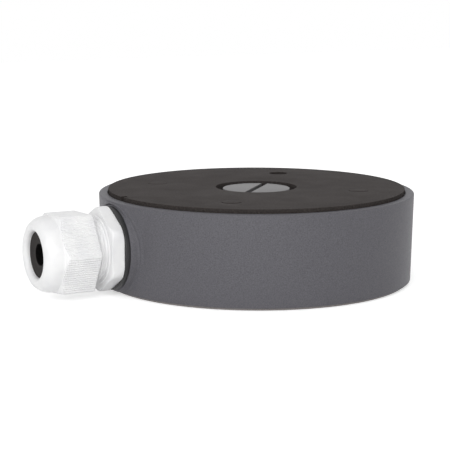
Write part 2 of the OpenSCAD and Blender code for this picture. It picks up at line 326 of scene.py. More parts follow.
def meshFromRings(name, rings, closed, space=None):
    # rings of equal length, each a closed loop; closed joins the last ring to the first
    mesh = bpy.data.meshes.new(name)
    bm = bmesh.new()
    made = [[bm.verts.new(Vector(p) * mm) for p in ring] for ring in rings]
    count = len(rings[0])
    for i in range(len(made) if closed else len(made) - 1):
        a, b = made[i], made[(i + 1) % len(made)]
        for k in range(count):
            bm.faces.new((a[k], a[(k + 1) % count], b[(k + 1) % count], b[k]))
    if not closed:
        bm.faces.new(made[0])
        bm.faces.new(made[-1])
    bmesh.ops.remove_doubles(bm, verts=bm.verts, dist=1e-7)  # metres
    bmesh.ops.dissolve_degenerate(bm, edges=bm.edges, dist=1e-8)
    bmesh.ops.recalc_face_normals(bm, faces=bm.faces)
    if space is not None:
        bmesh.ops.transform(bm, matrix=space, verts=bm.verts)
    bm.to_mesh(mesh)
    bm.free()
    return mesh


def objectFrom(name, mesh):
    made = bpy.data.objects.new(name, mesh)
    bpy.context.scene.collection.objects.link(made)
    return made


def lathe(name, outline, count=192, space=None):
    # a closed outline of (r, z) points with r above 0, turned round Z
    rings = [[(r * math.cos(fullTurn * k / count), r * math.sin(fullTurn * k / count), z)
              for k in range(count)] for r, z in outline]
    return objectFrom(name, meshFromRings(name, rings, True, space))


def post(name, r, z0, z1, x=0.0, y=0.0, count=48, foot=None, space=None):
    # a solid round post; foot is its radius at z0 where it tapers
    rings = [[(x + q * math.cos(fullTurn * k / count), y + q * math.sin(fullTurn * k / count), z)
              for k in range(count)] for q, z in ((foot or r, z0), (r, z1))]
    return objectFrom(name, meshFromRings(name, rings, False, space))


def block(name, lowCorner, highCorner, spin=0.0):
    mesh = bpy.data.meshes.new(name)
    bm = bmesh.new()
    bmesh.ops.create_cube(bm, size=1.0)
    size = Vector(highCorner) - Vector(lowCorner)
    centre = (Vector(highCorner) + Vector(lowCorner)) / 2
    placing = Matrix.Rotation(spin, 4, "Z") @ Matrix.Translation(centre * mm)
    placing = placing @ Matrix.Diagonal((*(size * mm), 1))
    bmesh.ops.transform(bm, matrix=placing, verts=bm.verts)
    bm.to_mesh(mesh)
    bm.free()
    return objectFrom(name, mesh)


def polar(radius, degrees):
    a = math.radians(degrees)
    return radius * math.cos(a), radius * math.sin(a)


def plainMesh(made):
    # the evaluated shape replaces the object's own mesh and its modifiers
    shape = bpy.data.meshes.new_from_object(made.evaluated_get(bpy.context.evaluated_depsgraph_get()))
    made.modifiers.clear()
    made.data = shape


def combine(target, tools, operation):
    for tool in tools:
        step = target.modifiers.new("combine", "BOOLEAN")
        step.operation = operation
        step.solver = "MANIFOLD"
        step.object = tool
    bpy.context.view_layer.update()
    plainMesh(target)
    for tool in tools:
        bpy.data.objects.remove(tool)
    return target


def dress(made, material, body, nodes=(), sharp=32):
    made.data.materials.clear()
    made.data.materials.append(material)
    for face in made.data.polygons:
        face.material_index = 0
    made.data.shade_smooth()
    made.data.set_sharp_from_angle(angle=math.radians(sharp))
    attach(made, body)
    if nodes:
        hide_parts(*nodes)
    return made


# Housing; a Pcd is the diameter of a circle of holes, a Turn is in degrees

housing = {
    "lip": 1.3, "ledge": 3.6, "roof": 33.6, "inside": 62.9, "rim": 3.8, "draft": 1.0, "innerDraft": 0.7,
    "rearHole": 13.25, "rearBoss": 17.0, "rearBossFoot": 30.0,
    "bossR": 18.0, "bossDraft": 0.6, "bossTopDraft": 0.03, "bossFillet": 0.7, "bossEdge": 0.3,
    "bossSink": 3.5, "bossFootGap": 0.04, "bossRimGap": 0.65, "bossBead": 0.3,
    # the bead's section in shares of its size: out from the fillet, proud of the drum
    "beadShape": ((4, -0.1), (3.2, 0.4), (2.2, 0.85), (1.1, 1)),
    "innerBossR": 15.0, "innerBossFace": 59.5, "innerBossSink": 4, "entryR": 12.6,
    "wallPcd": 90, "wallTurn": 47, "wallHole": 2.5, "wallPad": 6.0, "wallPadHeight": 2, "padDraft": 0.3,
    "screwPcd": 113.6, "screwHole": 2.05, "screwHoleEnd": 18.1, "ringPocket": 3.3, "ringDepth": 1.2,
    "pillarR": 5.8, "pillarDraft": (0.1, 0.15), "stop": 5.0, "webShare": 0.6, "ribHalf": 1,
    "groundAt": 32, "groundTurn": 302, "groundR": 4.6, "groundFoot": 29.2,
    "groundHole": 2.1, "groundDepth": 1.2,
    # how far posts and webs run into the roof, and a step that keeps two faces out of one plane
    "sink": 0.5, "webSink": 0.4, "hair": 0.01,
}


def wallSpot(number):
    return polar(housing["wallPcd"] / 2, housing["wallTurn"] + 90 * number)


def screwSpot(number):
    return polar(housing["screwPcd"] / 2, 120 * number)


def wallRadius(z):
    return place["bodyR"] - housing["draft"] * (place["rimTop"] - z) / place["rimTop"]


def bossRings(columns=144, steps=8):
    # back face inside the wall, then a bead and a fillet that run out onto the drum, side and flat face
    h = housing
    face, edge, fillet, bead = place["bossFace"], h["bossEdge"], h["bossFillet"], h["bossBead"]
    middle, half = axisGap / 2, h["bossR"] / 2
    root = h["bossR"] + h["bossDraft"]
    buried = place["bodyR"] - h["bossSink"]
    outermost = root + fillet + h["beadShape"][0][0] * bead
    rows = [("wall", q, buried) for q in (middle, half, h["bossR"] - past, outermost)]
    rows += [("skin", root + fillet + out * bead, proud * bead) for out, proud in h["beadShape"]]
    for k in range(steps + 1):
        t = math.pi / 2 * k / steps
        rows.append(("skin", root + fillet * (1 - math.sin(t)), bead + fillet * (1 - math.cos(t))))
    rows.append(("flat", h["bossR"] + h["bossTopDraft"], face - edge))
    for k in range(2, steps + 1, 2):
        t = math.pi / 2 * k / steps
        rows.append(("flat", h["bossR"] - edge * (1 - math.cos(t)), face - edge * (1 - math.sin(t))))
    rows += [("flat", half, face), ("flat", middle, face)]
    rings = []
    for kind, q, height in rows:
        ring = []
        for c in range(columns):
            a = fullTurn * c / columns
            up, side = q * math.cos(a), q * math.sin(a)
            z = max(place["glandZ"] + up, place["bodyFoot"] + h["bossFootGap"])
            z = min(z, place["rimTop"] - h["bossRimGap"])
            drum = wallRadius(z) if kind == "skin" else height
            s = height if kind == "flat" else math.sqrt(drum ** 2 - side ** 2)
            s += height if kind == "skin" else 0
            ring.append((-s, side, z))
        rings.append(ring)
    return rings


def makeHousing():
    h, roof = housing, housing["roof"]
    foot, recess = place["bodyR"] - h["draft"], place["bodyR"] - h["rim"]
    rebate = foot - h["lip"]
    shell = lathe("housingCasting", rounded([
        (rebate, place["bodyFoot"], 0.1), (foot, place["bodyFoot"], 0.3),
        (place["bodyR"], place["rimTop"], 0.6), (recess, place["rimTop"], 0.25),
        (recess, place["foamSeat"], 0.15), (h["rearHole"], place["foamSeat"], 0.4),
        (h["rearHole"], h["rearBossFoot"], 0.4), (h["rearBoss"], h["rearBossFoot"], 0.6),
        (h["rearBoss"], roof, 0.8), (h["inside"] - h["innerDraft"], roof, 2.0),
        (h["inside"], h["ledge"], 0.2), (rebate, h["ledge"], 0.1)], 5), 288)
    boss = objectFrom("boss", meshFromRings("boss", bossRings(), False))
    insideBoss = post("insideBoss", h["innerBossR"], h["innerBossFace"],
                      place["bossFace"] - h["innerBossSink"], space=glandSpace, count=96)
    adds, webs, cuts = [], [], []
    thin, wide = h["pillarDraft"]
    webHalf = h["pillarR"] * h["webShare"]
    for i in range(3):
        x, y = screwSpot(i)
        turn = math.radians(120 * i)
        adds.append(post("pillar", h["pillarR"] + wide, h["stop"], roof + h["sink"], x, y,
                         foot=h["pillarR"] - thin))
        webs.append(block("web", (h["screwPcd"] / 2, -webHalf, h["stop"] + h["hair"]),
                          (h["inside"] + past, webHalf, roof + h["webSink"]), turn))
        webs.append(block("rib", (h["rearBoss"] - past, -h["ribHalf"], h["rearBossFoot"] + 2 * h["hair"]),
                          (h["screwPcd"] / 2, h["ribHalf"], roof + h["webSink"]), turn))
        cuts.append(post("screwHole", h["screwHole"], h["stop"] - past, h["screwHoleEnd"], x, y, count=32))
        cuts.append(post("ringPocket", h["ringPocket"], h["stop"] - 2 * past, h["stop"] + h["ringDepth"],
                         x, y, count=32))
    padFoot = roof - h["wallPadHeight"]
    for i in range(4):
        x, y = wallSpot(i)
        adds.append(post("pad", h["wallPad"], padFoot, roof + h["sink"], x, y,
                         foot=h["wallPad"] - h["padDraft"]))
        cuts.append(post("wallHole", h["wallHole"], padFoot - past, place["foamSeat"] + past, x, y,
                         count=40))
    x, y = polar(h["groundAt"], h["groundTurn"])
    adds.append(post("groundBoss", h["groundR"], h["groundFoot"], roof + h["sink"], x, y,
                     foot=h["groundR"] - h["padDraft"]))
    cuts.append(post("groundHole", h["groundHole"], h["groundFoot"] - past, roof + h["groundDepth"], x, y,
                     count=32))
    cuts.append(post("entryHole", h["entryR"], h["innerBossFace"] - past, place["bossFace"] + past,
                     space=glandSpace, count=96))
    combine(shell, [boss, insideBoss] + adds + webs, "UNION")
    combine(shell, cuts, "DIFFERENCE")
    dress(shell, finish["casting"], "body", ["housing"], 35)


makeHousing()
print("housing made")


# Foam pad and the discs still in its screw holes

foam = {"openingR": 17.6, "holeR": 4.2, "discR": 4.12, "edge": 0.2, "discEdge": 0.1,
        "notchWidth": 3.0, "notchDepth": 2.2, "notchTurn": 180,
        "pressed": (0.09, 0.24, 0.14), "pressedReach": 4.5, "pressedSteps": 8, "cutSlope": 0.6}


def pressMark(number):
    # the die presses the foam down towards a cut, so the disc in it stands a little proud
    x, y = wallSpot(number)
    top, reach, depth = place["foamTop"], foam["pressedReach"], foam["pressed"][number - 1]
    lift = 0.001  # keeps the mark's outer edge off the pad's own face
    outline = [(axisGap, top - depth)]
    for k in range(foam["pressedSteps"] + 1):
        t = k / foam["pressedSteps"]
        outline.append((foam["holeR"] + reach * t, top - depth * (1 - t) ** 2 + lift))
    outline += [(foam["holeR"] + reach, top + past), (axisGap, top + past)]
    return lathe("pressMark", outline, 64, Matrix.Translation((x * mm, y * mm, 0)))


def showCuts(made):
    # upright faces were cut by the die, the others are the foam's skin
    made.data.materials.append(finish["foamCut"])
    for face in made.data.polygons:
        face.material_index = 1 if abs(face.normal.z) < foam["cutSlope"] else 0


def makeFoam():
    bottom, top = place["foamSeat"], place["foamTop"]
    pad = lathe("foamPad", rounded([
        (foam["openingR"], bottom, 0), (place["foamR"], bottom, 0),
        (place["foamR"], top, foam["edge"]), (foam["openingR"], top, foam["edge"])]), 256)
    cuts = [post("hole", foam["holeR"], bottom - past, top + past, *wallSpot(i)) for i in range(4)]
    notchHalf = foam["notchWidth"] / 2
    cuts.append(block("notch", (place["foamR"] - foam["notchDepth"], -notchHalf, bottom - past),
                      (place["foamR"] + past, notchHalf, top + past), math.radians(foam["notchTurn"])))
    cuts += [pressMark(i) for i in (1, 2, 3)]
    combine(pad, cuts, "DIFFERENCE")
    showCuts(dress(pad, finish["foam"], "body", ["rear_foam_pad"], 40))
    for i in (1, 2, 3):
        x, y = wallSpot(i)
        outline = rounded([(axisGap, bottom, 0), (foam["discR"], bottom, 0),
                           (foam["discR"], top, foam["discEdge"]), (axisGap, top, 0)])
        disc = lathe("foamDisc" + str(i), outline, 64, Matrix.Translation((x * mm, y * mm, 0)))
        showCuts(dress(disc, finish["foam"], "body", ["foam_disc_" + str(i)], 40))


makeFoam()
print("foam made")


# Threads and hexagons, as a radius for each direction and distance along an axis

ringGap = 0.02  # the rings of a thread stop this far before the next face


def threadRadius(crest, depth, pitch, a, s, start, end):
    # sharp ridges with a narrow flat root, which run out at both ends
    steepness = 1.25
    phase = (s / pitch - a / fullTurn) % 1.0
    ridge = 1 - abs(2 * phase - 1) * steepness
    fade = min(1, max(0, (s - start) / pitch), max(0, (end - s) / pitch))
    return crest - depth * (1 - min(1, max(0, ridge)) * fade)


def softMin(a, b, blend):
    h = max(0, blend - abs(a - b)) / blend
    return min(a, b) - h * h * blend / 4


def hexRadius(halfFlat, a, spin, rounding, blend):
    # distance to a hexagon with softened corners; a corner points along spin
    off = (a - spin + math.pi / 6) % (math.pi / 3) - math.pi / 6
    sharp = halfFlat / math.cos(math.pi / 6 - abs(off))
    return softMin(sharp, halfFlat / math.cos(math.pi / 6) - rounding, blend)


def ringAt(radiusOf, s, columns):
    ring = []
    for c in range(columns):
        a = fullTurn * c / columns
        r = radiusOf(a)
        ring.append((r * math.cos(a), r * math.sin(a), s))
    return ring


def roundRing(r, s, columns):
    return ringAt(lambda a: r, s, columns)


def threadRings(crest, depth, pitch, span, fade, step, columns):
    # span holds where the rings start and stop, fade where the ridges do
    rings = []
    s = span[0]
    while (span[1] - s) * step > 0:
        rings.append(ringAt(lambda a: threadRadius(crest, depth, pitch, a, s, *fade), s, columns))
        s += step
    return rings


# Cable gland: body, and the nut with its ribs

gland = {
    "flats": 31.9, "cornerCut": 0.05, "cornerBlend": 0.3, "bore": 9.5, "edge": 0.3,
    "entryR": 12.5, "neckR": 13.5, "pitch": 1.5, "threadDepth": 0.95, "threadSteps": 8,
    "flange": 5.7, "flangeTurn": 0, "flangeCut": 0.6, "flangeBack": 1.4, "flangeBlend": 0.4,
    # rise from the flange's back and how far below its corner: a sharp back edge, a rounded front
    "flangeShape": ((0.05, 0.7), (0.3, 0.2), (0.7, 0), (2.4, 0), (4.5, 0), (4.8, 0.15), (5.1, 0.55),
                    (5.35, 1.1), (5.55, 1.75), (5.68, 2.5), (5.7, 3.3)),
    # rise from the flange's front and how far beyond the neck
    "neckFoot": ((0.02, 0.75), (0.35, 0.5)), "neckStart": 0.5, "neckFade": 0.2,
    "neckEdge": 1.1, "cageBore": 11.4, "cageEdge": 0.2, "pocket": 83.5, "pocketEdge": 0.1,
}

nut = {
    "turn": 28, "chamfer": 9.0, "chamferSteps": 10, "domeLength": 7.2, "domeR": 11.5, "domeSteps": 20,
    "sideSteps": 8, "blend": 0.5,
    # rise from the nut's back and how far below its corner
    "backEdge": ((0.0, 0.6), (0.08, 0.3), (0.3, 0.1)),
    "mouthR": 9.65, "mouthLength": 2.6, "mouthSteps": 6, "seatR": 10.9, "seatEndR": 12.4, "seatEnd": 12.3,
    "threadGap": 0.05, "threadShare": 0.3, "threadStart": 12.1, "threadEnd": 0.8, "threadFade": 12.2,
    "threadStep": 0.25,
    # rise from the nut's back and how far beyond the neck
    "entry": ((0.5, 0.3), (0, 0.7)),
}

ribs = {"perFlat": 16, "pitch": 1.118, "r": 0.44, "start": 0.4, "end": 0.2,
        "sunk": 0.4, "margin": 0.25, "ramp": 0.3}


def makeGlandBody():
    g, columns = gland, 180
    flangeStart, flangeEnd = place["washerFace"], place["washerFace"] + g["flange"]
    entryEnd, neckEnd = place["entryEnd"], place["neckEnd"]
    flat, spin = g["flats"] / 2, -math.radians(g["flangeTurn"])
    corner = flat / math.cos(math.pi / 6) - g["flangeCut"]
    step = g["pitch"] / g["threadSteps"]
    rings = threadRings(g["entryR"], g["threadDepth"], g["pitch"], (entryEnd, flangeStart - ringGap),
                        (entryEnd, flangeStart), step, columns)
    profile = [(0.0, flat - g["flangeBack"])] + [(rise, corner - below) for rise, below in g["flangeShape"]]
    for rise, cap in profile:
        rings.append(ringAt(lambda a: softMin(hexRadius(flat, a, spin, g["cornerCut"], g["cornerBlend"]),
                                              cap, g["flangeBlend"]), flangeStart + rise, columns))
    rings += [roundRing(g["neckR"] + beyond, flangeEnd + rise, columns) for rise, beyond in g["neckFoot"]]
    rings += threadRings(g["neckR"], g["threadDepth"], g["pitch"],
                         (flangeEnd + g["neckStart"], neckEnd - ringGap),
                         (flangeEnd + g["neckFade"], neckEnd), step, columns)
    inside = [(g["neckR"] - g["neckEdge"], neckEnd), (g["cageBore"] + g["cageEdge"], neckEnd),
              (g["cageBore"], neckEnd - g["edge"]), (g["cageBore"], g["pocket"]),
              (g["bore"] + g["pocketEdge"], g["pocket"]), (g["bore"], g["pocket"] - g["edge"]),
              (g["bore"], entryEnd + g["edge"]), (g["bore"] + g["edge"], entryEnd)]
    rings += [roundRing(r, s, columns) for r, s in inside]
    made = objectFrom("glandBody", meshFromRings("glandBody", rings, True, glandSpace))
    dress(made, finish["nylon"], "body", ["gland_body"], 28)


def nutOutline():
    # rise from the back of the nut, and the radius that turns off its corners and makes its dome
    n, flat = nut, gland["flats"] / 2
    corner = flat / math.cos(math.pi / 6)
    length = place["mouth"] - place["nutBack"]
    chamferStart, domeStart = length - n["chamfer"], length - n["domeLength"]
    points = [(rise, corner - below) for rise, below in n["backEdge"]]
    edge, trim = n["backEdge"][-1]
    for k in range(1, n["sideSteps"] + 1):
        points.append((edge + (chamferStart - edge) * k / n["sideSteps"], corner - trim))
    for k in range(1, n["chamferSteps"]):
        points.append((chamferStart + (domeStart - chamferStart) * k / n["chamferSteps"],
                       corner - trim + (flat - corner + trim) * k / n["chamferSteps"]))
    for k in range(n["domeSteps"] + 1):
        t = math.pi / 2 * k / n["domeSteps"]
        points.append((domeStart + n["domeLength"] * math.sin(t),
                       n["domeR"] + (flat - n["domeR"]) * math.cos(t)))
    return points


def sunk(a, spin):
    # the ribbed part of a flat lies below the corners beside it
    off = (a - spin) % (math.pi / 3) - math.pi / 6
    across = abs(gland["flats"] / 2 * math.tan(off))
    edge = ribs["pitch"] * ribs["perFlat"] / 2
    return ribs["sunk"] * min(1, max(0, (edge + ribs["margin"] - across) / ribs["ramp"]))


def makeNut():
    g, n, columns = gland, nut, 240
    flat, spin = g["flats"] / 2, -math.radians(n["turn"])
    face, back = place["mouth"], place["nutBack"]
    rings = []
    for rise, cap in nutOutline():
        rings.append(ringAt(lambda a: softMin(
            hexRadius(flat, a, spin, g["cornerCut"], g["cornerBlend"]) - sunk(a, spin), cap, n["blend"]),
            back + rise, columns))
    lip, shoulder = n["domeR"] - n["mouthR"], face - n["mouthLength"]
    inside = []
    for k in range(1, n["mouthSteps"] + 1):
        t = math.pi / 2 * k / n["mouthSteps"]
        inside.append((n["domeR"] - lip * math.sin(t), face - lip + lip * math.cos(t)))
    seatEnd = back + n["seatEnd"]
    inside += [(n["mouthR"], shoulder), (n["seatR"], shoulder - ringGap), (n["seatEndR"], seatEnd),
               (g["neckR"] + n["threadGap"], seatEnd - ringGap)]
    rings += [roundRing(r, s, columns) for r, s in inside]
    ridge = g["threadDepth"] * n["threadShare"]
    root = g["neckR"] + n["threadGap"] + ridge
    s = back + n["threadStart"]
    while s > back + n["threadEnd"]:
        rings.append(ringAt(lambda a: root - threadRadius(ridge, ridge, g["pitch"], a, s, back,
                                                          back + n["threadFade"]), s, columns))
        s -= n["threadStep"]
    rings += [roundRing(g["neckR"] + beyond, back + rise, columns) for rise, beyond in n["entry"]]
    made = objectFrom("clampingNut", meshFromRings("clampingNut", rings, True, glandSpace))
    dress(made, finish["nylon"], "clamping_nut", ["gland_nut"], 30)


makeGlandBody()
makeNut()
print("gland made")


# Fine ribs on the nut's flats, placed by a node tree

def group(name, inputs):
    tree = bpy.data.node_groups.new(name, "GeometryNodeTree")
    for label, kind in inputs:
        tree.interface.new_socket(label, in_out="INPUT", socket_type=kind)
    tree.interface.new_socket("Geometry", in_out="OUTPUT", socket_type="NodeSocketGeometry")
    return tree, tree.nodes.new("NodeGroupInput"), tree.nodes.new("NodeGroupOutput")


def runTree(name, tree, values):
    # a new object whose mesh is what the tree makes
    made = objectFrom(name, bpy.data.meshes.new(name))
    step = made.modifiers.new("tree", "NODES")
    step.node_group = tree
    for item in tree.interface.items_tree:
        if item.in_out == "INPUT" and item.name in values:
            step[item.identifier] = values[item.name]
    bpy.context.view_layer.update()
    plainMesh(made)
    return made


def endTree(tree, output, geometry, material):
    solid = addNode(tree, "GeometryNodeRealizeInstances", links={"Geometry": geometry})
    paint = addNode(tree, "GeometryNodeSetMaterial",
                    {"Material": material}, {"Geometry": solid.outputs["Geometry"]})
    tree.links.new(paint.outputs["Geometry"], output.inputs["Geometry"])


def calc(tree, operation, *terms):
    node = addNode(tree, "ShaderNodeMath", {"operation": operation})
    for i, term in enumerate(terms):
        if isinstance(term, (int, float)):
            node.inputs[i].default_value = term
        else:
            tree.links.new(term, node.inputs[i])
    return node.outputs[0]


def ribTree():
    tree, given, output = group("nutRibs", [
        ("Ribs", "NodeSocketInt"), ("Pitch", "NodeSocketFloat"), ("Reach", "NodeSocketFloat"),
        ("Start", "NodeSocketFloat"), ("Length", "NodeSocketFloat"), ("Thickness", "NodeSocketFloat"),
        ("Turn", "NodeSocketFloat"), ("Slope", "NodeSocketFloat")])
    count = calc(tree, "MULTIPLY", given.outputs["Ribs"], 6)
    index = addNode(tree, "GeometryNodeInputIndex").outputs[0]
    side = calc(tree, "FLOOR", calc(tree, "DIVIDE", calc(tree, "ADD", index, 0.5), given.outputs["Ribs"]))
    order = calc(tree, "SUBTRACT", index, calc(tree, "MULTIPLY", side, given.outputs["Ribs"]))
    middle = calc(tree, "DIVIDE", calc(tree, "SUBTRACT", given.outputs["Ribs"], 1), 2)
    across = calc(tree, "MULTIPLY", calc(tree, "SUBTRACT", order, middle), given.outputs["Pitch"])
    angle = calc(tree, "ADD", calc(tree, "MULTIPLY", side, math.pi / 3), given.outputs["Turn"])
    # a rib nearer a corner meets the chamfer sooner, so it is shorter
    reach = given.outputs["Reach"]
    outer = calc(tree, "SQRT", calc(tree, "ADD", calc(tree, "MULTIPLY", across, across),
                                    calc(tree, "MULTIPLY", reach, reach)))
    lost = calc(tree, "MULTIPLY", calc(tree, "SUBTRACT", outer, reach), given.outputs["Slope"])
    length = calc(tree, "SUBTRACT", given.outputs["Length"], lost)
    height = calc(tree, "ADD", given.outputs["Start"], calc(tree, "DIVIDE", length, 2))
    stretch = addNode(tree, "ShaderNodeCombineXYZ", {"X": 1.0, "Y": 1.0},
                      {"Z": calc(tree, "DIVIDE", length, given.outputs["Length"])})
    spot = addNode(tree, "ShaderNodeCombineXYZ", links={"X": reach, "Y": across, "Z": height})
    turned = addNode(tree, "ShaderNodeVectorRotate", {"rotation_type": "Z_AXIS"},
                     {"Vector": spot.outputs[0], "Angle": angle})
    points = addNode(tree, "GeometryNodePoints", links={"Count": count, "Position": turned.outputs[0]})
    bar = addNode(tree, "GeometryNodeMeshCylinder", {"Vertices": 12},
                  {"Radius": given.outputs["Thickness"], "Depth": given.outputs["Length"]})
    placed = addNode(tree, "GeometryNodeInstanceOnPoints",
                     links={"Points": points.outputs[0], "Instance": bar.outputs["Mesh"],
                            "Scale": stretch.outputs[0]})
    endTree(tree, output, placed.outputs[0], finish["nylon"])
    return tree


def makeRibs():
    r, flat = ribs, gland["flats"] / 2
    start = place["nutBack"] + r["start"]
    length = place["mouth"] - nut["domeLength"] - r["end"] - start
    corner = flat / math.cos(math.pi / 6) - nut["backEdge"][-1][1]
    made = runTree("nutRibs", ribTree(), {
        "Ribs": r["perFlat"], "Pitch": r["pitch"] * mm, "Reach": (flat - r["r"]) * mm,
        "Start": start * mm, "Length": length * mm, "Thickness": r["r"] * mm,
        "Turn": math.pi / 6 - math.radians(nut["turn"]),
        "Slope": (nut["chamfer"] - nut["domeLength"]) / (corner - flat)})
    made.data.transform(glandSpace)
    dress(made, finish["nylon"], "clamping_nut", sharp=50)


makeRibs()
print("ribs made")


# Rubber bush, washer, plug and its seal

# skin: how far beyond the cable hole's radius faces still take the painted bore shade
bush = {"r": 9.9, "collarR": 10.5, "collar": 1.1, "holeR": 4.45, "lip": 0.35, "mouthSink": 0.15,
        "bulge": 0.3, "bulgeIn": 1.1, "dish": 0.2, "dishOut": 2.0, "dishIn": 0.9, "skin": 0.12}
washer = {"holeR": 12.7, "holeEdge": 0.2, "edge": 0.4}
# skin: margin round the slot within which faces take the near-black slot finish
plug = {"threadR": 13.15, "pitch": 1.814, "depth": 0.9, "threadSteps": 8, "wall": 2.6, "footIn": 1.2,
        "edge": 0.35, "underEdge": 0.15, "underIn": 0.5, "threadGap": 0.05, "hollowEdge": 0.3,
        "roof": 2, "roofEdge": 0.5, "slotWidth": 2.7, "slotDepth": 1.25, "slotTurn": 45, "skin": 0.05}
plugSeal = {"holeR": 13.3, "inset": 0.1, "holeEdge": 0.15, "edge": 0.25}


def makeBush():
    b, front, back = bush, place["sealFace"], place["sealBack"]
    made = lathe("cableBush", rounded([
        (b["holeR"], back, 0.3), (b["r"], back, 0.5),
        (b["r"], front - b["collar"], 0.1), (b["collarR"], front - b["collar"], 0.2),
        (b["collarR"], front, 0.2), (b["collarR"] - b["bulgeIn"], front + b["bulge"], 0.3),
        (b["holeR"] + b["dishOut"], front - b["dish"], 0.8),
        (b["holeR"] + b["dishIn"], front - b["dish"], 0.2),
        (b["holeR"], front - b["mouthSink"], b["lip"])]), 128, glandSpace)
    dress(made, finish["elastomer"], "gland_insert", ["gland_seal"], 40)
    # painted shade: faces of the cable hole, out to the skin margin, take the almost black bore finish
    made.data.materials.append(finish["bore"])
    for face in made.data.polygons:
        off = math.hypot(face.center.y, face.center.z - place["glandZ"] * mm) / mm
        face.material_index = 1 if off < b["holeR"] + b["skin"] else 0


def makeWasher():
    w, back, front = washer, place["bossFace"], place["washerFace"]
    made = lathe("flangeWasher", rounded([
        (w["holeR"], back, w["holeEdge"]), (place["washerR"], back, w["edge"]),
        (place["washerR"], front, w["edge"]), (w["holeR"], front, w["holeEdge"])]), 128, glandSpace)
    dress(made, finish["rubber"], "body", ["gland_washer"], 40)


def makePlug():
    p, columns = plug, 144
    top, head, foot = place["plugTop"], place["plugHead"], place["plugFoot"]
    hollow, roof = p["threadR"] - p["wall"], top - p["slotDepth"] - p["roof"]
    outline = rounded([(axisGap, top, 0), (place["plugR"], top, p["edge"]),
                       (place["plugR"], head, p["underEdge"]), (p["threadR"] - p["underIn"], head, 0)])
    rings = [roundRing(r, z, columns) for r, z in outline[:-1]]
    rings += threadRings(p["threadR"], p["depth"], p["pitch"], (head - p["threadGap"], foot + ringGap),
                         (foot, head), -p["pitch"] / p["threadSteps"], columns)
    inside = [(p["threadR"] - p["footIn"], foot), (hollow + p["hollowEdge"], foot),
              (hollow, foot + p["hollowEdge"]), (hollow, roof - p["roofEdge"]),
              (hollow - p["roofEdge"], roof), (axisGap, roof)]
    rings += [roundRing(r, z, columns) for r, z in inside]
    made = objectFrom("rearPlug", meshFromRings("rearPlug", rings, False))
    slotHalf = p["slotWidth"] / 2
    slotCut = block("slot", (-place["plugR"] - past, -slotHalf, top - p["slotDepth"]),
                    (place["plugR"] + past, slotHalf, top + past), math.radians(p["slotTurn"]))
    combine(made, [slotCut], "DIFFERENCE")
    dress(made, finish["zinc"], "plug", ["rear_plug"], 30)
    # faces inside the slot, down to its floor, take the near-black slot finish
    made.data.materials.append(finish["slot"])
    across = Vector(polar(1, p["slotTurn"] + 90))
    for face in made.data.polygons:
        deep = top - face.center.z / mm
        aside = abs(face.center.to_2d().dot(across)) / mm
        if p["skin"] < deep < p["slotDepth"] + p["skin"] and aside < slotHalf + p["skin"]:
            face.material_index = 1


def makePlugSeal():
    s, bottom, top = plugSeal, place["foamSeat"], place["plugHead"]
    outer = place["plugR"] - s["inset"]
    made = lathe("plugSeal", rounded([(s["holeR"], bottom, s["holeEdge"]), (outer, bottom, s["edge"]),
                                      (outer, top, s["edge"]), (s["holeR"], top, s["holeEdge"])]), 128)
    dress(made, finish["rubber"], "plug_seal", ["rear_plug_seal"], 40)


makeBush()
makeWasher()
makePlug()
makePlugSeal()
print("bush, washer and plug made")


# Cover and its captive screws

cover = {"outletR": 17.5, "outletWall": 2, "spigotR": 62.4, "spigot": 1.6, "edge": 0.25, "innerEdge": 0.3,
         "sink": 0.3, "bossR": 5.4, "bossDraft": 0.1, "pocketR": 3.9, "pocket": 3.6, "shankGap": 0.1,
         "fourPcd": 70, "fourTurn": 45, "threePcd": 92, "threeTurn": 60, "tapR": 1.65, "tapBossR": 3.85,
         "tapDraft": 0.2, "gapStart": (-70, -16), "gapEnd": (-34, 16)}
screw = {"headR": 3.5, "headLow": 0.4, "headHigh": 2.6, "headEdge": 0.9, "underEdge": 0.2, "shankR": 2.0,
         "plain": 3, "tipR": 1.1, "tip": 0.5, "end": 16.6, "pitch": 0.7, "depth": 0.35, "threadSteps": 6,
         "keyR": 1.45, "keyDepth": 1.4}


def makeCover():
    c, top, stop = cover, place["coverTop"], place["coverStop"]
    joint, outlet = top - c["sink"], c["outletR"] + c["outletWall"]
    plate = lathe("coverPlate", rounded([
        (c["outletR"], 0, 0), (place["coverR"], 0, c["edge"]), (place["coverR"], top, c["edge"]),
        (outlet, top, c["innerEdge"]), (outlet, stop, c["innerEdge"]),
        (c["outletR"], stop, c["innerEdge"])]), 256)
    spigot = lathe("spigot", rounded([
        (c["spigotR"] - c["spigot"], joint, 0), (c["spigotR"], joint, 0),
        (c["spigotR"], stop, c["innerEdge"]), (c["spigotR"] - c["spigot"], stop, c["innerEdge"])]), 256)
    gap = block("gap", (*c["gapStart"], top), (*c["gapEnd"], stop + past))  # room for the gland's inner end
    combine(spigot, [gap], "DIFFERENCE")
    adds, cuts = [spigot], []
    spots = [polar(c["fourPcd"] / 2, c["fourTurn"] + 90 * i) for i in range(4)]
    spots += [polar(c["threePcd"] / 2, c["threeTurn"] + 120 * i) for i in range(3)]
    for x, y in spots:
        adds.append(post("tapBoss", c["tapBossR"] - c["tapDraft"], joint, stop, x, y,
                         foot=c["tapBossR"], count=40))
        cuts.append(post("tap", c["tapR"], -past, stop + past, x, y, count=28))
    for i in range(3):
        x, y = screwSpot(i)
        adds.append(post("screwBoss", c["bossR"] - c["bossDraft"], joint, stop, x, y, foot=c["bossR"]))
        cuts.append(post("headPocket", c["pocketR"], -past, c["pocket"], x, y))
        cuts.append(post("shankHole", screw["shankR"] + c["shankGap"], 0, stop + past, x, y, count=28))
    combine(plate, adds, "UNION")
    combine(plate, cuts, "DIFFERENCE")
    dress(plate, finish["cover"], "cover", ["cover_plate"], 35)


